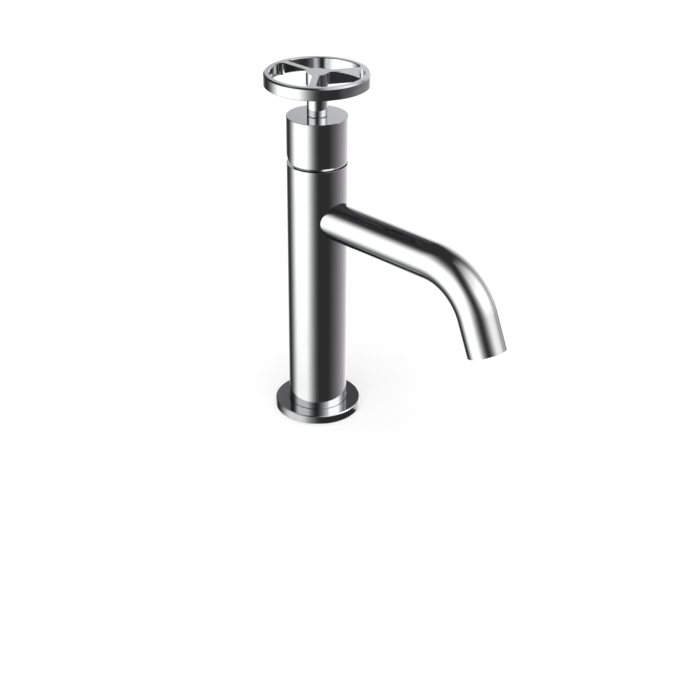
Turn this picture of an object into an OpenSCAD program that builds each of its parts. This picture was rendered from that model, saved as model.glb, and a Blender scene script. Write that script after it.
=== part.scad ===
// Single-hole lavatory faucet. A round column stands on a flat flange, a plain tube spout
// leaves it level and bends down, and the top of the column is a tilting handle barrel
// with a thin stem and a three-spoke handwheel. A ceramic-disc cartridge mixes the water.
// Millimetres. The origin is the middle of the base on the deck, +Z is up, and the spout
// points to -Y. The handle is modelled closed and at mid temperature.

/* [Column] */
// Diameter of the column and of the handle barrel above it
body_d = 35; // [34:0.5:38]
// Wall of the column tube
body_wall = 2; // [1.8:0.1:2.2]
// Height of the column's top face above the deck
body_h = 159.4; // [150:0.1:200]
// Diameter of the base flange
flange_d = 51.8; // [50:0.2:60]
// Thickness of the base flange
flange_h = 5.4; // [4.6:0.1:8]
// Bevel on the flange's upper edge
flange_bevel = 0.5; // [0.3:0.1:1]

/* [Spout] */
// Diameter of the spout tube
spout_d = 22; // [21.6:0.1:22.4]
// Wall of the spout tube
spout_wall = 1.5; // [1.3:0.1:1.6]
// Distance of the spout's axis below the column's top face
spout_drop = 31.6; // [31.6:0.1:50]
// Level run from the column's axis to the start of the bend
spout_run = 89.5; // [70:0.5:120]
// Radius of the bend at the tube's axis
bend_r = 35.5; // [30:0.5:45]
// Angle of the bend
bend_angle = 67.4; // [60:0.1:80]
// Straight end after the bend
spout_end = 20.5; // [18:0.5:30]

/* [Handle] */
// Gap between the column's top face and the handle barrel
joint_gap = 0.6; // [0.5:0.1:1.2]
// Height of the handle barrel
barrel_h = 27.2; // [26:0.2:34]
// Tilt of the handle from closed to fully open
tilt_max = 24; // [18:1:24]
// Extra relief under the barrel's rear edge beyond the full tilt
tilt_spare = 1; // [1:0.5:2]
// Height of the steep bevel on the barrel's lower edge
lip_h = 1.3; // [0.8:0.1:2]
// Depth of that bevel
lip_depth = 0.5; // [0.3:0.1:1]
// Diameter of the stem that carries the handwheel
stem_d = 11.7; // [11:0.1:14]
// Length of the stem between barrel and wheel
stem_h = 17.8; // [14:0.2:24]

/* [Handwheel] */
// Outside diameter of the wheel
wheel_d = 59.6; // [54:0.2:66]
// Height of the rim, the spokes and the hub
wheel_h = 7; // [6:0.1:9]
// Radial width of the rim
rim_w = 3.6; // [3:0.1:5]
// Bevel on the rim's upper outer edge
rim_bevel = 0.9; // [0.5:0.1:1.5]
// Width of a spoke
spoke_w = 3.8; // [3:0.1:5]
// Diameter of the hub
hub_d = 12.6; // [12.2:0.1:16]
// Radius of the fillets where the spokes meet the hub
hub_fillet_r = 1.5; // [1:0.1:2]
// Radius of the fillets where the spokes meet the rim
rim_fillet_r = 2.4; // [1:0.1:3]
// Turn of the right spoke from the +X axis
right_spoke = -30; // [-40:1:-20]
// Turn of the rear spoke from the +X axis
rear_spoke = 91; // [80:1:100]
// Turn of the front spoke from the +X axis
front_spoke = 220; // [210:1:230]

/* [Deck fixings] */
// Radius of the tapped hole for the M8 fixing stud
stud_r = 3.4; // [3.3:0.05:3.45]
// Depth of the stud hole
stud_depth = 14; // [10:1:16]
// Radius of the tapped M10x1 hose ports
hose_r = 4.5; // [4.45:0.05:4.55]
// Depth of the hose ports
hose_depth = 12; // [10:1:13]

/* [Hidden] */
$fn = 96;
eps = 0.01;
spokes = [right_spoke, rear_spoke, front_spoke];
through = 2 * body_d;

// clearances
fit_gap = 0.1;
press_gap = 0.05;
run_gap = 0.08;
slide_gap = 0.3;
face_gap = 0.02;

// column and flange
body_r = body_d / 2;
bore_r = body_r - body_wall;
flange_r = flange_d / 2;
flange_bore_r = body_r + press_gap;
column_foot = 0.4;
column_edge = 0.05;
seam_edge = 0.4;

// deck seal in the flange's underside
seal_in_r = flange_r - 4.6;
seal_out_r = flange_r - 2.1;
seal_h = 1.8;

// base insert with the stud hole and the hose ports
insert_r = bore_r - press_gap;
insert_h = 21;
hose_x = 6.4;
hose_y = -3.2;
stud_y = 8.6;
way_r = 3;

// supply tubes
supply_r = 4;
supply_bore_r = 3;
supply_socket = 5;
supply_socket_r = supply_r + press_gap;

// O-rings
ring_r = 1.1;
groove_w = 2.6;
insert_ring_z = 15.5;

// spout
spout_z = body_h - spout_drop;
spout_r = spout_d / 2;
spout_bore_r = spout_r - spout_wall;
bend_z = spout_z - bend_r;
lap = 0.4;
lap_step = 0.01;
outlet_y = -(spout_run + bend_r * sin(bend_angle) + spout_end * cos(bend_angle));
outlet_z = bend_z + bend_r * cos(bend_angle) - spout_end * sin(bend_angle);

// nipple that carries the water from the valve seat into the spout
nipple_r = 7;
nipple_bore_r = 5.2;
nipple_seat = 6.7;
nipple_reach = 9;
nipple_in_y = body_r - nipple_seat;
nipple_out_y = body_r + nipple_reach;
collar_r = spout_bore_r - press_gap;
collar_start = 1.2;
collar_in_y = body_r + collar_start;
collar_h = 5;
collar_ring_r = 0.8;
collar_ring_w = 1.9;

// valve seat, a brass block brazed inside the column
seat_drop = 10.8;
seat_sink = 1.3;
pocket_depth = 18.1;
seat_bottom_z = spout_z - seat_drop;
seat_top_z = body_h - seat_sink;
seat_floor_z = seat_top_z - pocket_depth;
thread_r = bore_r - 1.4;
pocket_r = thread_r - 1.5;
thread_depth = 6;
seat_socket_top = seat_bottom_z + supply_socket;
seat_ring_z = seat_bottom_z + 2.2;
cross_r = 2.5;

// cartridge, stacked on the pocket's floor
cart_r = pocket_r - fit_gap;
cart_in_r = cart_r - 1.2;
port_x = 5.4;
port_y = -2;
port_r = 2.1;
out_y = 4.6;
out_r = 2.4;
seal_wire = 1;
port_seal_h = 1.5;
base_gap = 0.3;
base_h = 5.2;
fixed_h = 3;
moving_h = 2.5;
carrier_h = 3.1;
base_z = seat_floor_z + base_gap;
base_top_z = base_z + base_h;
base_r = cart_in_r - press_gap;
fixed_top_z = base_top_z + fixed_h;
moving_z = fixed_top_z + face_gap;
moving_top_z = moving_z + moving_h;
moving_r = cart_in_r - 2.1;
chamber_h = 1.5;
chamber_front = 0.5;
carrier_top_z = moving_top_z + carrier_h;
guide_z = carrier_top_z + slide_gap;
guide_flange_h = 2;
guide_play = 0.2;
shoulder_sink = 1.8;
neck_rise = 1.6;
guide_rise = 4.1;
lip_z = guide_z + guide_flange_h + guide_play;
shoulder_z = body_h - shoulder_sink;
housing_top_z = body_h + neck_rise;
neck_out_r = cart_r - 2.1;
guide_r = cart_in_r - slide_gap;
guide_neck_r = neck_out_r - 1.8;
neck_in_r = guide_neck_r + run_gap;
guide_top_z = body_h + guide_rise;

// lever
pivot_z = body_h + joint_gap;
ball_rise = 2.2;
ball_z = moving_top_z + ball_rise;
lever_arm = pivot_z - ball_z;
ball_r = 1.9;
plate_travel = lever_arm * sin(tilt_max);
moving_y = plate_travel / 2;
spindle_w = 6;
knuckle_r = spindle_w / 2;
slot_w = spindle_w + 2 * fit_gap;
slot_front = -5;
slot_back = 5.2;
pin_r = 1.2;
pin_len = 2 * guide_neck_r - 3.2;
arm_r = 1.4;

// retaining nut and dome
nut_flange_r = bore_r - fit_gap;
nut_sink = 0.1;
nut_top_z = body_h - nut_sink;
nut_neck_r = neck_out_r + fit_gap;
notch_w = 3;
notch_depth = 0.7;
dome_r = bore_r - 1.7;
dome_wall = 1.2;
dome_rise = 7;

// handle barrel
barrel_z = pivot_z;
barrel_top_z = barrel_z + barrel_h;
relief_angle = tilt_max + tilt_spare;
barrel_roof = 9;
spindle_sink = 1.6;
grub_drop = 4.4;
cavity_h = barrel_h - barrel_roof;
boss_r = 6.2;
boss_drop = 8.2;
socket_w = spindle_w + 2 * press_gap;
spindle_top_z = barrel_z + cavity_h + spindle_sink;
spigot_r = 4;
spigot_depth = 5.5;
grub_z = barrel_z + cavity_h - grub_drop;
grub_r = 1.5;
grub_len = 3.3;
access_r = 2.2;
plug_r = access_r - press_gap;

// stem and wheel
stem_r = stem_d / 2;
stem_top_z = barrel_top_z + stem_h;
wheel_z = stem_top_z;
wheel_top_z = wheel_z + wheel_h;
wheel_r = wheel_d / 2;
rim_in_r = wheel_r - rim_w;
rim_mid_r = rim_in_r + 0.8;
hub_r = hub_d / 2;
hub_bore_depth = 4.5;
sunk = 0.03;
edge = 0.3;
cap_edge = 0.2;
foot_edge = 0.45;
rim_inner_edge = 0.4;

// aerator, recessed in the spout's end
aer_r = spout_bore_r - fit_gap;
aer_recess = 0.9;
aer_len = 11;
aer_in_r = aer_r - 1.4;
aer_lip_r = aer_in_r - 0.8;
core_r = aer_in_r - press_gap;
core_out_z = -1.8;
core_in_z = -9.4;
screen_t = 0.6;
jet_pitch = 2.9;
jet_r = 0.95;

// colours
chrome = [0.80, 0.81, 0.83];
brass = [0.78, 0.62, 0.34];
copper = [0.74, 0.47, 0.33];
rubber = [0.09, 0.09, 0.10];
alumina = [0.93, 0.92, 0.88];
resin = [0.88, 0.88, 0.86];
steel = [0.66, 0.67, 0.69];

// a ring with a rectangular section
module ring(r_out, r_in, h) {
  difference() {
    cylinder(r = r_out, h = h);
    translate([0, 0, -eps]) cylinder(r = r_in, h = h + 2 * eps);
  }
}

// a cylinder whose upper edge is bevelled
module bevelled_disc(r, h, b) {
  rotate_extrude()
    polygon([[0, 0], [r, 0], [r, h - b], [r - b, h], [0, h]]);
}

// an O-ring that touches a wall of radius r_touch
module o_ring(r_touch, wire_r) {
  rotate_extrude() translate([r_touch - wire_r, 0]) circle(r = wire_r);
}

// children placed at the spout's outlet, +Z pointing out of the mouth
module at_outlet() {
  translate([0, outlet_y, outlet_z]) rotate([90 + bend_angle, 0, 0]) children();
}

// the spout's run, bend and end as one pipe; the end laps over the bend
module spout_pipe(r_out, r_in, start_y) {
  translate([0, -start_y, spout_z]) rotate([90, 0, 0]) ring(r_out, r_in, spout_run - start_y);
  translate([0, -spout_run, bend_z]) rotate([0, -90, 180])
    rotate_extrude(angle = bend_angle) translate([bend_r, 0]) difference() {
      circle(r = r_out);
      circle(r = r_in);
    }
  at_outlet() translate([0, 0, -spout_end - lap])
    ring(r_out + lap_step, r_in - lap_step, spout_end + lap);
}

// the places of the two supply ways, hot at -X and cold at +X
module at_side(side, x, y) {
  translate([side * x, y, 0]) children();
}

module base_flange() {
  color(chrome) difference() {
    rotate_extrude()
      polygon([[0, 0], [flange_r - edge, 0], [flange_r, edge], [flange_r, flange_h - flange_bevel],
               [flange_r - flange_bevel, flange_h], [0, flange_h]]);
    translate([0, 0, -eps]) cylinder(r = flange_bore_r, h = flange_h + 2 * eps);
    // narrow bevel round the column, which shows as a dark seam
    translate([0, 0, flange_h - seam_edge])
      cylinder(r1 = flange_bore_r, r2 = flange_bore_r + seam_edge + eps, h = seam_edge + eps);
    translate([0, 0, -eps]) ring(seal_out_r + fit_gap, seal_in_r - fit_gap, seal_h + eps);
  }
}

module deck_seal() {
  color(rubber) ring(seal_out_r, seal_in_r, seal_h);
}

module column_tube() {
  color(chrome) difference() {
    translate([0, 0, column_foot]) bevelled_disc(body_r, body_h - column_foot, column_edge);
    translate([0, 0, -eps]) cylinder(r = bore_r, h = body_h + through);
    // way for the spout's nipple
    translate([0, 0, spout_z]) rotate([90, 0, 0]) cylinder(r = nipple_r + fit_gap, h = body_d);
  }
}

module base_insert() {
  color(brass) difference() {
    cylinder(r = insert_r, h = insert_h);
    // groove for the ring that seals the column's foot
    translate([0, 0, insert_ring_z - groove_w / 2])
      ring(insert_r + 1, bore_r - 2 * ring_r, groove_w);
    // tapped hole for the stud
    translate([0, stud_y, -eps]) cylinder(r = stud_r, h = stud_depth + eps);
    for (side = [-1, 1]) {
      at_side(side, hose_x, hose_y) {
        translate([0, 0, -eps]) cylinder(r = hose_r, h = hose_depth + eps);
        cylinder(r = way_r, h = insert_h);
        translate([0, 0, insert_h - supply_socket])
          cylinder(r = supply_socket_r, h = supply_socket + 1);
      }
    }
  }
}

module insert_ring() {
  color(rubber) translate([0, 0, insert_ring_z]) o_ring(bore_r, ring_r);
}

module supply_tube(side) {
  z0 = insert_h - supply_socket + fit_gap;
  z1 = seat_socket_top - fit_gap;
  color(copper) at_side(side, hose_x, hose_y) translate([0, 0, z0])
    ring(supply_r, supply_bore_r, z1 - z0);
}

module hot_supply_tube() {
  supply_tube(-1);
}

module cold_supply_tube() {
  supply_tube(1);
}

module valve_seat() {
  color(brass) difference() {
    translate([0, 0, seat_bottom_z]) cylinder(r = insert_r, h = seat_top_z - seat_bottom_z);
    translate([0, 0, seat_floor_z]) cylinder(r = pocket_r, h = through);
    translate([0, 0, seat_top_z - thread_depth]) cylinder(r = thread_r, h = through);
    // groove for the lower ring
    translate([0, 0, seat_ring_z - groove_w / 2])
      ring(insert_r + 1, bore_r - 2 * ring_r, groove_w);
    // hot and cold ways from the tubes up to the ports
    for (side = [-1, 1]) {
      at_side(side, hose_x, hose_y) translate([0, 0, seat_bottom_z - 1])
        cylinder(r = supply_socket_r, h = supply_socket + 1);
      at_side(side, port_x, port_y) translate([0, 0, seat_socket_top - 1])
        cylinder(r = port_r, h = seat_floor_z - seat_socket_top + 2);
    }
    // mixed water goes down and forward to the spout
    translate([0, out_y, spout_z - cross_r]) cylinder(r = out_r, h = seat_floor_z - spout_z + 9);
    translate([0, out_y, spout_z]) rotate([90, 0, 0]) cylinder(r = cross_r, h = out_y + nipple_in_y);
    translate([0, -nipple_in_y + 0.2, spout_z]) rotate([90, 0, 0])
      cylinder(r = nipple_r + press_gap, h = body_d);
  }
}

module seat_ring() {
  color(rubber) translate([0, 0, seat_ring_z]) o_ring(bore_r, ring_r);
}

module spout_tube() {
  color(chrome) difference() {
    spout_pipe(spout_r, spout_bore_r, body_r / 2);
    // saddle that sits on the column
    translate([0, 0, spout_z - spout_d]) cylinder(r = body_r, h = 2 * spout_d);
  }
}

module spout_nipple() {
  color(brass) translate([0, 0, spout_z]) rotate([90, 0, 0]) difference() {
    union() {
      translate([0, 0, nipple_in_y]) cylinder(r = nipple_r, h = nipple_out_y - nipple_in_y);
      translate([0, 0, collar_in_y]) cylinder(r = collar_r, h = collar_h);
    }
    translate([0, 0, nipple_in_y - 1]) cylinder(r = nipple_bore_r, h = nipple_out_y);
    translate([0, 0, collar_in_y + (collar_h - collar_ring_w) / 2])
      ring(collar_r + 1, spout_bore_r - 2 * collar_ring_r, collar_ring_w);
  }
}

module nipple_ring() {
  color(rubber) translate([0, 0, spout_z]) rotate([90, 0, 0])
    translate([0, 0, collar_in_y + collar_h / 2]) o_ring(spout_bore_r, collar_ring_r);
}

module aerator_housing() {
  color(steel) at_outlet() difference() {
    translate([0, 0, -aer_recess - aer_len]) cylinder(r = aer_r, h = aer_len);
    translate([0, 0, -aer_recess - aer_len - 1])
      cylinder(r = aer_in_r, h = aer_len + 1 + aer_recess + core_out_z);
    translate([0, 0, -aer_len]) cylinder(r = aer_lip_r, h = aer_len + 1);
  }
}

// the places of the jets, a centre and two rings of six and twelve
jets = [
  [0, 0],
  for (i = [0:5]) jet_pitch * [cos(60 * i), sin(60 * i)],
  for (i = [0:5]) 2 * jet_pitch * [cos(60 * i), sin(60 * i)],
  for (i = [0:5]) sqrt(3) * jet_pitch * [cos(60 * i + 30), sin(60 * i + 30)]
];

// a round plate with a hole for each jet
module jet_plate(r, h, hole_r) {
  difference() {
    cylinder(r = r, h = h);
    for (p = jets) translate([p[0], p[1], -eps]) cylinder(r = hole_r, h = h + 2 * eps);
  }
}

module aerator_core() {
  color(resin) at_outlet() translate([0, 0, core_in_z])
    jet_plate(core_r, core_out_z - core_in_z, jet_r);
}

module aerator_screen() {
  color(steel) at_outlet() translate([0, 0, core_in_z - screen_t - fit_gap])
    jet_plate(core_r, screen_t, jet_r * 0.6);
}

module aerator_washer() {
  color(rubber) at_outlet() translate([0, 0, -aer_recess - aer_len - 2])
    ring(aer_r, aer_in_r - 0.8, 2);
}

module port_seal(x, y, r) {
  color(rubber) translate([x, y, seat_floor_z]) ring(r + seal_wire, r, port_seal_h);
}

module hot_port_seal() {
  port_seal(-port_x, port_y, port_r);
}

module cold_port_seal() {
  port_seal(port_x, port_y, port_r);
}

module outlet_port_seal() {
  port_seal(0, out_y, out_r);
}

// the three water ways through a plate that starts at z and is h thick
module port_ways(z, h, spare) {
  for (side = [-1, 1])
    translate([side * port_x, port_y, z]) cylinder(r = port_r + spare, h = h);
  translate([0, out_y, z]) cylinder(r = out_r + spare, h = h);
}

module cartridge_base() {
  color(resin) difference() {
    translate([0, 0, base_z]) cylinder(r = base_r, h = base_top_z - base_z);
    port_ways(base_z - 1, base_top_z - base_z + 2, 0);
    port_ways(base_z - 1, port_seal_h + 0.7, seal_wire);
  }
}

module fixed_disc() {
  color(alumina) difference() {
    translate([0, 0, base_top_z]) cylinder(r = base_r - 0.1, h = fixed_top_z - base_top_z);
    port_ways(base_top_z - 1, fixed_top_z - base_top_z + 2, 0);
  }
}

module moving_disc() {
  color(alumina) translate([0, moving_y, moving_z]) difference() {
    cylinder(r = moving_r, h = moving_top_z - moving_z);
    // blind mixing chamber, clear of the two supply ports while closed
    translate([0, 0, -eps]) intersection() {
      cylinder(r = moving_r - 1.6, h = chamber_h);
      translate([-moving_r, chamber_front - moving_y, -1])
        cube([2 * moving_r, 2 * moving_r, chamber_h + 2]);
    }
  }
}

module disc_carrier() {
  color(resin) difference() {
    translate([0, moving_y, moving_top_z]) cylinder(r = moving_r - 0.4, h = carrier_top_z - moving_top_z);
    // slot for the lever's ball, open at the top
    translate([0, 0, moving_top_z + 0.2])
      cylinder(r = ball_r + run_gap, h = carrier_top_z - moving_top_z);
  }
}

module cartridge_housing() {
  color(resin) difference() {
    union() {
      translate([0, 0, base_z]) cylinder(r = cart_r, h = shoulder_z - base_z);
      translate([0, 0, base_z]) cylinder(r = neck_out_r, h = housing_top_z - base_z);
    }
    translate([0, 0, base_z - 1]) cylinder(r = cart_in_r, h = lip_z - base_z + 1);
    translate([0, 0, base_z]) cylinder(r = neck_in_r, h = through);
  }
}

module lever_guide() {
  color(resin) difference() {
    union() {
      translate([0, 0, guide_z]) cylinder(r = guide_r, h = guide_flange_h);
      translate([0, 0, guide_z]) cylinder(r = guide_neck_r, h = guide_top_z - guide_z);
    }
    // slot in which the lever swings
    translate([-slot_w / 2, slot_front, guide_z - 1])
      cube([slot_w, slot_back - slot_front, guide_top_z - guide_z + 2]);
    // bore of the lever's pin
    translate([-guide_r, 0, pivot_z]) rotate([0, 90, 0]) cylinder(r = pin_r, h = 2 * guide_r);
  }
}

module lever_pin() {
  color(steel) translate([-pin_len / 2, 0, pivot_z]) rotate([0, 90, 0]) cylinder(r = pin_r, h = pin_len);
}

module spindle_lever() {
  color(steel) difference() {
    union() {
      translate([-spindle_w / 2, 0, pivot_z]) rotate([0, 90, 0]) cylinder(r = knuckle_r, h = spindle_w);
      translate([-spindle_w / 2, -spindle_w / 2, pivot_z])
        cube([spindle_w, spindle_w, spindle_top_z - pivot_z]);
      translate([0, 0, ball_z]) cylinder(r = arm_r, h = lever_arm);
      translate([0, 0, ball_z]) sphere(r = ball_r);
    }
    translate([-spindle_w, 0, pivot_z]) rotate([0, 90, 0])
      cylinder(r = pin_r + press_gap, h = 2 * spindle_w);
  }
}

module retaining_nut() {
  color(chrome) difference() {
    union() {
      translate([0, 0, seat_top_z - thread_depth + 0.3])
        cylinder(r = thread_r - press_gap, h = thread_depth);
      translate([0, 0, seat_top_z]) cylinder(r = nut_flange_r, h = nut_top_z - seat_top_z);
    }
    translate([0, 0, seat_floor_z]) cylinder(r = cart_r + fit_gap, h = shoulder_z - seat_floor_z);
    translate([0, 0, seat_floor_z]) cylinder(r = nut_neck_r, h = through);
    // notches for the spanner
    for (a = [45:90:315])
      rotate([0, 0, a]) translate([-notch_w / 2, dome_r + 0.4, nut_top_z - notch_depth])
        cube([notch_w, body_r, 2 * notch_depth]);
  }
}

module trim_dome() {
  color(chrome) difference() {
    translate([0, 0, pivot_z]) sphere(r = dome_r);
    translate([0, 0, pivot_z]) sphere(r = dome_r - dome_wall);
    translate([0, 0, nut_top_z - through / 2]) cube(through, center = true);
    translate([0, 0, pivot_z + dome_rise + through / 2]) cube(through, center = true);
  }
}

module handle_barrel() {
  color(chrome) difference() {
    union() {
      difference() {
        translate([0, 0, barrel_z]) rotate_extrude()
          polygon([[0, 0], [body_r - lip_depth, 0], [body_r, lip_h],
                   [body_r, barrel_h - cap_edge], [body_r - cap_edge, barrel_h], [0, barrel_h]]);
        translate([0, 0, barrel_z - 1]) cylinder(r = bore_r, h = cavity_h + 1);
      }
      translate([0, 0, barrel_z + cavity_h - boss_drop]) cylinder(r = boss_r, h = boss_drop + 1);
    }
    // relief that lets the barrel lean back
    translate([0, 0, barrel_z]) rotate([relief_angle, 0, 0])
      translate([-through / 2, 0, -through]) cube(through);
    // square socket for the spindle
    translate([-socket_w / 2, -socket_w / 2, barrel_z])
      cube([socket_w, socket_w, spindle_top_z - barrel_z + 0.2]);
    // bore for the stem's spigot
    translate([0, 0, barrel_top_z - spigot_depth]) cylinder(r = spigot_r, h = spigot_depth + 1);
    // bore for the grub screw and its access hole at the back
    translate([0, 0, grub_z]) rotate([-90, 0, 0]) cylinder(r = grub_r, h = boss_r + 1);
    translate([0, boss_r + 1, grub_z]) rotate([-90, 0, 0]) cylinder(r = access_r, h = body_r);
  }
}

module barrel_screw() {
  color(steel) translate([0, spindle_w / 2 + fit_gap, grub_z]) rotate([-90, 0, 0]) difference() {
    cylinder(r = grub_r - press_gap, h = grub_len);
    translate([0, 0, grub_len - 1.2]) cylinder(r = 0.85, h = 2, $fn = 6);
  }
}

module screw_plug() {
  color(chrome) intersection() {
    translate([0, bore_r - 1, grub_z]) rotate([-90, 0, 0]) cylinder(r = plug_r, h = through);
    translate([0, 0, barrel_z]) cylinder(r = body_r, h = barrel_h);
  }
}

module handle_stem() {
  color(chrome) {
    translate([0, 0, barrel_top_z - spigot_depth + 0.2]) cylinder(r = spigot_r, h = 2 * spigot_depth);
    translate([0, 0, barrel_top_z]) rotate_extrude()
      polygon([[0, 0], [stem_r - foot_edge, 0], [stem_r, foot_edge], [stem_r, stem_h], [0, stem_h]]);
    translate([0, 0, stem_top_z - 1]) cylinder(r = spigot_r, h = hub_bore_depth + 0.8);
  }
}

// an arc of n steps about m, from angle a0 to a1
function arc(m, r, a0, a1, n = 10) =
  [for (i = [0:n]) m + r * [cos(a0 + (a1 - a0) * i / n), sin(a0 + (a1 - a0) * i / n)]];

// fillet between one side of a spoke and the inner wall of the rim, its ends sunk in both
module rim_fillet(side) {
  y = spoke_w / 2 + rim_fillet_r - sunk;
  x = sqrt(pow(rim_in_r - rim_fillet_r + sunk, 2) - y * y);
  lean = atan2(y, x);
  scale([1, side]) polygon(concat(
    arc([x, y], rim_fillet_r, -90, lean),
    [rim_mid_r * [cos(lean), sin(lean)], [rim_mid_r, spoke_w / 4], [x, spoke_w / 4]]
  ));
}

// fillet between one side of a spoke and the hub, its ends sunk in both
module hub_fillet(side) {
  y = spoke_w / 2 + hub_fillet_r - sunk;
  x = sqrt(pow(hub_r + hub_fillet_r - sunk, 2) - y * y);
  lean = atan2(y, x);
  scale([1, side]) polygon(concat(
    arc([x, y], hub_fillet_r, -90, lean - 180),
    [(hub_r - 0.6) * [cos(lean), sin(lean)], [hub_r - 0.6, spoke_w / 4], [x, spoke_w / 4]]
  ));
}

module handwheel() {
  color(chrome) translate([0, 0, wheel_z]) {
    rotate_extrude()
      polygon([[rim_in_r, edge], [rim_in_r + edge, 0], [wheel_r - edge, 0], [wheel_r, edge],
               [wheel_r, wheel_h - rim_bevel], [wheel_r - rim_bevel, wheel_h],
               [rim_in_r + rim_inner_edge, wheel_h], [rim_in_r, wheel_h - rim_inner_edge]]);
    difference() {
      linear_extrude(wheel_h) {
        circle(r = hub_r);
        for (turn = spokes) rotate(turn) {
          translate([0, -spoke_w / 2]) square([rim_mid_r, spoke_w]);
          for (side = [-1, 1]) {
            rim_fillet(side);
            hub_fillet(side);
          }
        }
      }
      translate([0, 0, -1]) cylinder(r = spigot_r, h = hub_bore_depth + 1);
    }
  }
}

base_flange();
deck_seal();
column_tube();
base_insert();
insert_ring();
hot_supply_tube();
cold_supply_tube();
valve_seat();
seat_ring();
spout_tube();
spout_nipple();
nipple_ring();
aerator_housing();
aerator_core();
aerator_screen();
aerator_washer();
hot_port_seal();
cold_port_seal();
outlet_port_seal();
cartridge_base();
fixed_disc();
moving_disc();
disc_carrier();
cartridge_housing();
lever_guide();
lever_pin();
spindle_lever();
retaining_nut();
trim_dome();
handle_barrel();
barrel_screw();
screw_plug();
handle_stem();
handwheel();
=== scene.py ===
"""Dresses the single-hole lavatory faucet: finishes, camera, floor and studio light."""
import math

import bpy
from mathutils import Matrix, Vector

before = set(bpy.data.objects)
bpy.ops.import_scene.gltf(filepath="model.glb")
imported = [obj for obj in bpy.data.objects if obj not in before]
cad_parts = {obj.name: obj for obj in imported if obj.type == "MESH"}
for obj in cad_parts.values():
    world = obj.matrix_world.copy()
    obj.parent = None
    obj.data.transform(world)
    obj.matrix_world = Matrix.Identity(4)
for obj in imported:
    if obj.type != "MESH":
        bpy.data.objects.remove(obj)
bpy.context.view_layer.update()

# The camera stands in front of the faucet on its left, 44 degrees round from the spout's line.
CAM_AZIMUTH = math.radians(-44.05)
CAM_PITCH, CAM_ROLL, CAM_YAW = 0.50827, 0.01074, 0.02697
CAM_BACK, CAM_HEIGHT = 0.72882, 0.44325
SENSOR = 36
CAM_LENS = 1365.23 / 700 * SENSOR

# How one piece shows in another's mirror, where its colour is painted dark as a painted dim reflection: that
# grey, the roughness added there, and pairs of metres between which each effect fades.
PAINTED_REFLECTION_GREY = (0.068, 0.068, 0.068)
FAINT_ROUGHNESS = 0.6
FAR_OFF = (0.05, 0.06)
WALL_FOOT = (0.05, 0.07)
WALL_TOP = (0.1869, 0.1867)
JOINT_HEIGHT = (0.15, 0.155)
JOINT_REACH = (0.012, 0.006)

# The studio in the chrome: display levels of its dark and its light, and how far the lights exceed white.
DARK_LEVEL, LIGHT_LEVEL, DISPLAY_GAMMA = 0.186, 1.02, 2.2
STUDIO_STRENGTH = 1.85
RIGHT_GLARE = 1.6
DIFFUSE_STRENGTH = 0.7

FLOOR_SIZE = 6.0
FLOOR_DROP = 0.0001
FLOOR_GLOW = 0.26
# Painted shade beside the flange, seen only in its mirror: how near it reaches and how bright its dim glow is.
SHADE_REACH = (0.014, 0.011)
SHADE_STRENGTH = 0.04

WHITE = (1, 1, 1, 1)


def set_camera():
    turn = Matrix.Rotation(CAM_AZIMUTH, 3, "Z")
    c, s = math.cos(CAM_PITCH), math.sin(CAM_PITCH)
    ahead = turn @ Vector((math.sin(CAM_YAW) * c, math.cos(CAM_YAW) * c, -s))
    level = turn @ Vector((math.cos(CAM_YAW), -math.sin(CAM_YAW), 0))
    above = level.cross(ahead)
    right = level * math.cos(CAM_ROLL) + above * math.sin(CAM_ROLL)
    up = above * math.cos(CAM_ROLL) - level * math.sin(CAM_ROLL)
    data = bpy.data.cameras.new("camera")
    data.sensor_width, data.sensor_fit, data.lens = SENSOR, "HORIZONTAL", CAM_LENS
    data.clip_start, data.clip_end = 0.01, 50
    cam = bpy.data.objects.new("camera", data)
    bpy.context.scene.collection.objects.link(cam)
    place = turn @ Vector((0, -CAM_BACK, CAM_HEIGHT))
    cam.matrix_world = Matrix.Translation(place) @ Matrix((right, up, -ahead)).transposed().to_4x4()
    bpy.context.scene.camera = cam


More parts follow.
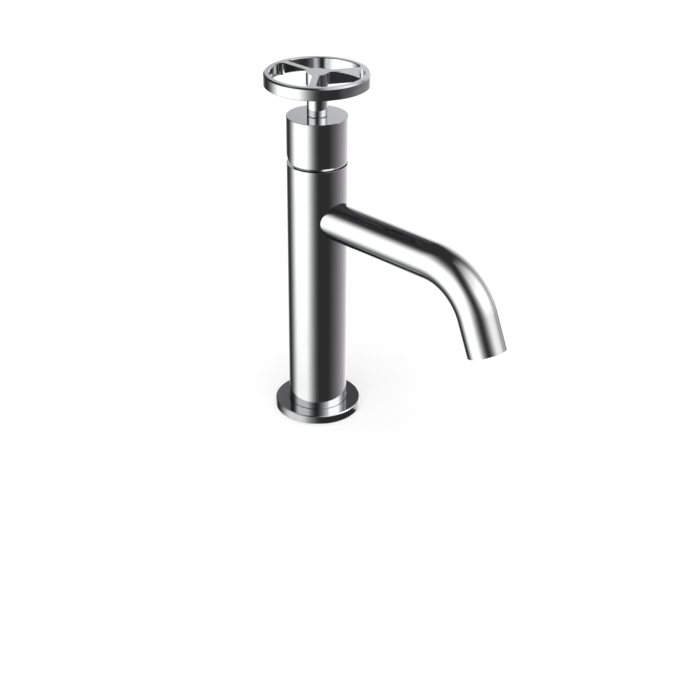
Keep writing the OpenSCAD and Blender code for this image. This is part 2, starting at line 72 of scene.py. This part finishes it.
class Graph:
    """A few short ways to add and join nodes."""

    def __init__(self, tree):
        self.tree = tree
        tree.nodes.clear()

    def node(self, kind, **props):
        n = self.tree.nodes.new(kind)
        for k, v in props.items():
            setattr(n, k, v)
        return n

    def put(self, socket, value):
        """Links another node's socket, or sets a plain value."""
        if isinstance(value, bpy.types.NodeSocket):
            self.tree.links.new(value, socket)
        else:
            socket.default_value = value

    def shader(self, kind, **values):
        n = self.node(kind)
        for name, value in values.items():
            self.put(n.inputs[name], value)
        return n.outputs[0]

    def blend(self, share, first, second):
        """The first shader where share is 0, the second where it is 1."""
        n = self.node("ShaderNodeMixShader")
        for socket, value in zip(n.inputs, (share, first, second)):
            self.put(socket, value)
        return n.outputs[0]

    def math(self, op, a, b=0.0, c=0.0):
        n = self.node("ShaderNodeMath", operation=op)
        for i, v in enumerate((a, b, c)):
            self.put(n.inputs[i], v)
        return n.outputs[0]

    def fold(self, op, first, *others):
        """Joins any number of values by one operation."""
        for other in others:
            first = self.math(op, first, other)
        return first

    def product(self, *values):
        return self.fold("MULTIPLY", *values)

    def highest(self, *values):
        return self.fold("MAXIMUM", *values)

    def dip(self, amount, *where):
        """A factor of 1 that falls by amount where all the others are 1."""
        return self.math("MULTIPLY_ADD", self.product(*where), -amount, 1)

    def line(self, x, slope, offset, low, high):
        """slope * x + offset, held between low and high."""
        value = self.math("MULTIPLY_ADD", x, slope, offset)
        return self.math("MINIMUM", self.math("MAXIMUM", value, low), high)

    def span(self, x, x0, x1, y0, y1, shape="LINEAR"):
        """Goes from y0 at x0 to y1 at x1 and stays level outside them."""
        n = self.node("ShaderNodeMapRange", interpolation_type=shape)
        for i, v in enumerate((x, x0, x1, y0, y1)):
            self.put(n.inputs[i], v)
        return n.outputs[0]

    def ramp(self, x, x0, x1, y0=0.0, y1=1.0):
        """The same with soft ends."""
        return self.span(x, x0, x1, y0, y1, "SMOOTHSTEP")

    def noise(self, vector, scale, detail=4.0, rough=0.55):
        n = self.node("ShaderNodeTexNoise")
        self.put(n.inputs["Vector"], vector)
        n.inputs["Scale"].default_value = scale
        n.inputs["Detail"].default_value = detail
        n.inputs["Roughness"].default_value = rough
        return n.outputs["Fac"]

    def mix(self, share, a, b):
        n = self.node("ShaderNodeMix", data_type="RGBA")
        self.put(n.inputs["Factor"], share)
        for socket, v in ((n.inputs[6], a), (n.inputs[7], b)):
            self.put(socket, v if isinstance(v, bpy.types.NodeSocket) else (*v, 1.0))
        return n.outputs[2]

    def bump(self, height, strength, distance, normal=None):
        n = self.node("ShaderNodeBump")
        self.put(n.inputs["Strength"], strength)
        n.inputs["Distance"].default_value = distance
        self.put(n.inputs["Height"], height)
        if normal is not None:
            self.put(n.inputs["Normal"], normal)
        return n.outputs["Normal"]

    def axes(self, vector):
        n = self.node("ShaderNodeSeparateXYZ")
        self.put(n.inputs[0], vector)
        return n.outputs

    def bearing(self, axes):
        """Degrees round the upright axis from the side that the photograph's camera is on, right positive."""
        toward = CAM_AZIMUTH - math.pi / 2
        turn = self.math("SUBTRACT", self.math("ARCTAN2", axes["Y"], axes["X"]), toward)
        return self.math("MULTIPLY", self.math("WRAP", turn, math.pi, -math.pi), 180 / math.pi)


def new_material(name):
    mat = bpy.data.materials.new(name)
    mat.use_nodes = True
    g = Graph(mat.node_tree)
    out = g.node("ShaderNodeOutputMaterial")
    shader = g.node("ShaderNodeBsdfPrincipled")
    g.put(out.inputs["Surface"], shader.outputs[0])
    place = g.node("ShaderNodeTexCoord").outputs["Object"]
    return mat, g, shader, place


def chrome(name, tint=(0.55, 0.555, 0.564), rough=0.035, dark_walls_in_mirrors=False):
    """Polished plate: faint waviness, hazy patches and a trace of polishing marks.

    Its image in another piece's mirror is smooth, and from far off its colour there is painted dark grey: a
    painted dim reflection.
    Where asked, the tall walls are painted dark in mirrors at any distance too, but not where the joint under
    the barrel mirrors them. The piece itself keeps the plain finish, since all of this holds for glossy rays
    only.
    """
    mat, g, s, place = new_material(name)
    haze = g.noise(place, scale=55, detail=5, rough=0.6)
    wave = g.noise(place, scale=90, detail=1, rough=0.4)
    marks = g.noise(place, scale=2600, detail=3, rough=0.5)
    s.inputs["Metallic"].default_value = 1
    deep = tuple(0.955 * c for c in tint)
    colour = g.mix(g.span(haze, 0.35, 0.7, 0, 1), tint, deep)
    path = g.node("ShaderNodeLightPath").outputs
    faint = g.ramp(path["Ray Length"], *FAR_OFF)
    if dark_walls_in_mirrors:
        height = g.axes(place)["Z"]
        wall = g.product(g.ramp(height, *WALL_FOOT), g.ramp(height, *WALL_TOP))
        joint = g.product(g.ramp(height, *JOINT_HEIGHT), g.ramp(path["Ray Length"], *JOINT_REACH))
        faint = g.highest(faint, g.math("SUBTRACT", wall, joint))
    faint = g.product(faint, path["Is Glossy Ray"])
    # Painted dim reflection: for glossy rays the base colour is painted dark grey, so this piece looks dark in
    # other pieces' mirrors.
    g.put(s.inputs["Base Color"], g.mix(faint, colour, PAINTED_REFLECTION_GREY))
    own = g.math("ADD", g.span(haze, 0.4, 0.75, rough, rough + 0.03), g.span(marks, 0.3, 0.7, 0, 0.01))
    g.put(s.inputs["Roughness"], g.math("MULTIPLY_ADD", faint, FAINT_ROUGHNESS, own))
    itself = g.math("SUBTRACT", 1, path["Is Glossy Ray"])
    waves = g.bump(wave, g.product(itself, 0.05), distance=0.0006)
    g.put(s.inputs["Normal"], g.bump(marks, g.product(itself, 0.012), distance=0.00002, normal=waves))
    return mat


def cast_metal(name, tint, rough, grain, lathe):
    """Machined or drawn metal with turning rings and slight tarnish."""
    mat, g, s, place = new_material(name)
    ring_pitch = 0.0004
    tarnish = g.noise(place, scale=120, detail=5, rough=0.6)
    fine = g.noise(place, scale=grain, detail=3, rough=0.5)
    rings = g.math("SINE", g.product(g.axes(place)["Z"], 2 * math.pi / ring_pitch))
    s.inputs["Metallic"].default_value = 1
    dark = tuple(0.72 * c for c in tint)
    g.put(s.inputs["Base Color"], g.mix(g.span(tarnish, 0.42, 0.72, 0, 0.7), tint, dark))
    g.put(s.inputs["Roughness"], g.span(tarnish, 0.3, 0.75, rough, rough + 0.15))
    height = g.math("ADD", g.product(rings, lathe), fine)
    g.put(s.inputs["Normal"], g.bump(height, strength=0.25, distance=0.00003))
    return mat


def moulded(name, tint, rough, speck=0.12):
    """Moulded resin or rubber: fine orange peel and slight mottling."""
    mat, g, s, place = new_material(name)
    mottle = g.noise(place, scale=180, detail=4, rough=0.6)
    peel = g.noise(place, scale=3500, detail=2, rough=0.5)
    dark = tuple((1 - speck) * c for c in tint)
    g.put(s.inputs["Base Color"], g.mix(mottle, tint, dark))
    g.put(s.inputs["Roughness"], g.span(mottle, 0.3, 0.7, rough, rough + 0.12))
    g.put(s.inputs["Normal"], g.bump(peel, strength=0.2, distance=0.00004))
    return mat


def ceramic(name):
    """Lapped alumina: nearly white, fine-grained and half-glossy."""
    mat, g, s, place = new_material(name)
    grain = g.noise(place, scale=5200, detail=3, rough=0.6)
    cloud = g.noise(place, scale=240, detail=3, rough=0.5)
    pale, grey = (0.84, 0.83, 0.79), (0.78, 0.77, 0.72)
    g.put(s.inputs["Base Color"], g.mix(g.span(cloud, 0.3, 0.7, 0, 1), pale, grey))
    g.put(s.inputs["Roughness"], g.span(grain, 0.3, 0.7, 0.22, 0.34))
    g.put(s.inputs["Normal"], g.bump(grain, strength=0.1, distance=0.00002))
    return mat


FINISH = {
    "chrome": chrome("chrome_plate"),
    "satin": chrome("satin_chrome", rough=0.07, dark_walls_in_mirrors=True),
    "steel": cast_metal("stainless_steel", (0.60, 0.60, 0.61), rough=0.24, grain=1800, lathe=0.3),
    "brass": cast_metal("machined_brass", (0.80, 0.62, 0.33), rough=0.22, grain=1500, lathe=0.8),
    "copper": cast_metal("drawn_copper", (0.80, 0.46, 0.32), rough=0.26, grain=1500, lathe=0.1),
    "rubber": moulded("nitrile_rubber", (0.035, 0.035, 0.038), rough=0.55),
    "resin": moulded("acetal_resin", (0.80, 0.80, 0.78), rough=0.32, speck=0.06),
    "alumina": ceramic("alumina"),
}
FINISH_OF = {
    "chrome": ["base_flange", "retaining_nut", "trim_dome", "handle_stem", "handwheel"],
    "satin": ["column_tube", "spout_tube", "handle_barrel", "screw_plug"],
    "steel": ["aerator_housing", "aerator_screen", "lever_pin", "spindle_lever", "barrel_screw"],
    "brass": ["base_insert", "valve_seat", "spout_nipple"],
    "copper": ["hot_supply_tube", "cold_supply_tube"],
    "rubber": ["deck_seal", "insert_ring", "seat_ring", "nipple_ring", "aerator_washer",
               "hot_port_seal", "cold_port_seal", "outlet_port_seal"],
    "resin": ["aerator_core", "cartridge_base", "disc_carrier", "cartridge_housing", "lever_guide"],
    "alumina": ["fixed_disc", "moving_disc"],
}
# The column and the flange don't mirror the spout in the photograph.
UNMIRRORED = ["spout_tube", "spout_nipple", "nipple_ring", "aerator_housing", "aerator_core",
              "aerator_screen", "aerator_washer"]


def dress_nodes():
    for finish, names in FINISH_OF.items():
        for name in names:
            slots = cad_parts[name].data.materials
            slots.clear()
            slots.append(FINISH[finish])
    for name in UNMIRRORED:
        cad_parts[name].visible_glossy = False


def studio_light(g, az, az_round, el):
    """How light the studio is in each direction, from 0 to about 1, and the right-hand light by itself.

    az is the bearing from the camera's side, az_round the same from 0 to 360, and el the height in degrees.
    """
    left = g.product(g.ramp(az, g.line(el, 0.7, -144, -138, -100), -82),
                     g.ramp(az, g.line(el, -0.6, 14, -34, 9), -50),
                     g.ramp(el, 74, 15), g.ramp(el, -70, -20, 0, 1.06))

    inner_edge = g.line(el, -0.5, 6.5, -16, 20)
    right = g.product(g.ramp(g.math("SUBTRACT", az, inner_edge), 0, 62), g.ramp(az, 156, 88),
                      g.ramp(el, -20, 6), g.span(el, -10, 25, 0.75, 1.03),
                      g.ramp(el, 106, 46), g.ramp(el, 38, 50, 1, 0.9))

    # The pale sweep rises behind the faucet. It is dimmer where the wheel's rim, the flange's top at the
    # right and the wheel's top mirror it.
    far_top = g.line(az_round, -1, 218, 30, 62)
    sweep = g.product(g.span(az_round, 42, 160, 0, 0.87), g.ramp(az_round, 222, 172),
                      g.ramp(el, far_top, 10), g.span(el, -40, -18, 0.88, 1))
    at_rim = g.dip(0.5, g.ramp(el, -19.3, -17.9), g.ramp(el, -9, -13),
                   g.ramp(az_round, 55, 75), g.ramp(az_round, 160, 140))
    at_flange = g.dip(0.75, g.ramp(az_round, 168, 173), g.ramp(az_round, 184, 179),
                      g.ramp(el, 26, 29.5), g.ramp(el, 37, 33))
    at_wheel = g.dip(0.1, g.ramp(el, 2, 10), g.ramp(el, 20, 17))
    sweep = g.product(sweep, at_rim, at_flange, at_wheel)
    ledge = g.product(g.ramp(az_round, 175, 187, 0, 0.24), g.ramp(az_round, 215, 195),
                      g.ramp(el, 24, 30), g.ramp(el, 44, 34))

    under_left = g.product(g.ramp(az, -25, -60, 0, 0.45), g.ramp(az, -185, -110))
    under_right = g.product(g.ramp(az, 15, 40, 0, 0.9), g.ramp(az, 110, 75))
    under = g.product(g.highest(under_left, under_right), g.ramp(el, -40, -54))
    return g.highest(left, right, g.math("ADD", sweep, ledge), under), right


def studio_tint(g, az_round, el):
    """Nearly white: warmer low down at the right, cooler at the left and violet far behind."""
    even, cool, warm, violet = (1.007, 1.0, 0.986), (0.99, 1.0, 0.98), (1.035, 1.0, 1.03), (1.0, 1.0, 1.025)
    low = g.ramp(el, -8, -16)
    at_left, at_right = g.mix(low, even, cool), g.mix(low, even, warm)
    tint = g.mix(g.ramp(az_round, 30, 60), at_left, at_right)
    tint = g.mix(g.ramp(az_round, 165, 178), tint, violet)
    return g.mix(g.ramp(az_round, 190, 225), tint, at_left)


def set_world():
    """White to the eye. What the chrome mirrors is a studio: a broad soft light on the left, a higher one
    on the right, the pale sweep behind and a dim room on the camera's side and overhead."""
    world = bpy.data.worlds.new("studio")
    bpy.context.scene.world = world
    world.use_nodes = True
    g = Graph(world.node_tree)
    axes = g.axes(g.node("ShaderNodeTexCoord").outputs["Generated"])
    az = g.bearing(axes)
    az_round = g.math("WRAP", az, 360, 0)
    el = g.product(g.math("ARCSINE", axes["Z"]), 180 / math.pi)

    light, right = studio_light(g, az, az_round, el)
    seen = g.math("POWER", g.span(light, 0, 1, DARK_LEVEL, LIGHT_LEVEL), DISPLAY_GAMMA)
    seen = g.product(seen, g.ramp(right, 0.93, 1.03, 1, RIGHT_GLARE), STUDIO_STRENGTH)
    mirrored = g.shader("ShaderNodeBackground", Color=studio_tint(g, az_round, el), Strength=seen)
    plain = g.shader("ShaderNodeBackground", Color=WHITE, Strength=DIFFUSE_STRENGTH)
    white = g.shader("ShaderNodeBackground", Color=WHITE, Strength=1.0)

    path = g.node("ShaderNodeLightPath").outputs
    around = g.blend(path["Is Glossy Ray"], plain, mirrored)
    seen_through = g.highest(path["Is Camera Ray"], path["Is Transmission Ray"])
    g.put(g.node("ShaderNodeOutputWorld").inputs["Surface"], g.blend(seen_through, around, white))


def set_floor():
    """A pale matt floor. The eye sees a little extra white on it, and the soft shadow stays. The chrome
    looks through it to the studio, apart from the flange's edge, which mirrors a painted shade right beside it:
    a dim glow that only glossy rays see."""
    mesh = bpy.data.meshes.new("floor")
    r = FLOOR_SIZE
    mesh.from_pydata([(-r, -r, 0), (r, -r, 0), (r, r, 0), (-r, r, 0)], [], [(0, 1, 2, 3)])
    floor = bpy.data.objects.new("floor", mesh)
    bpy.context.scene.collection.objects.link(floor)
    floor.location.z = -FLOOR_DROP
    mat = bpy.data.materials.new("pale_floor")
    mat.use_nodes = True
    g = Graph(mat.node_tree)
    place = g.node("ShaderNodeTexCoord").outputs["Object"]
    path = g.node("ShaderNodeLightPath").outputs

    paint = g.mix(g.noise(place, scale=30, detail=3), (0.80, 0.80, 0.80), (0.82, 0.82, 0.82))
    matt = g.node("ShaderNodeAddShader")
    g.put(matt.inputs[0], g.shader("ShaderNodeBsdfDiffuse", Color=paint))
    g.put(matt.inputs[1], g.shader("ShaderNodeEmission", Strength=g.product(path["Is Camera Ray"], FLOOR_GLOW)))

    # Painted shade: a dim glow near the flange stands in for its contact shadow in the flange's mirrored edge.
    # Other glossy rays pass through.
    around = g.bearing(g.axes(place))
    right = g.product(g.ramp(around, 2, 12), g.ramp(around, 71, 65))
    left = g.product(g.ramp(around, 0, -12, 0, 0.3), g.ramp(around, -75, -60))
    shade = g.product(g.highest(left, right), g.ramp(path["Ray Length"], *SHADE_REACH))
    clear, dim = g.shader("ShaderNodeBsdfTransparent"), g.shader("ShaderNodeEmission", Strength=SHADE_STRENGTH)

    shown = g.blend(path["Is Glossy Ray"], matt.outputs[0], g.blend(shade, clear, dim))
    g.put(g.node("ShaderNodeOutputMaterial").inputs["Surface"], shown)
    mesh.materials.append(mat)


def set_lamps():
    """One very soft overhead light from the left for the shadow; the chrome doesn't mirror it."""
    data = bpy.data.lights.new("soft_overhead", "SUN")
    data.energy, data.angle = 1.1, math.radians(60)
    lamp = bpy.data.objects.new("soft_overhead", data)
    lamp.rotation_euler = (math.radians(18), math.radians(-22), 0)
    lamp.visible_glossy = False
    bpy.context.scene.collection.objects.link(lamp)


bpy.context.scene.view_settings.view_transform = "Standard"
set_camera()
dress_nodes()
set_world()
set_floor()
set_lamps()
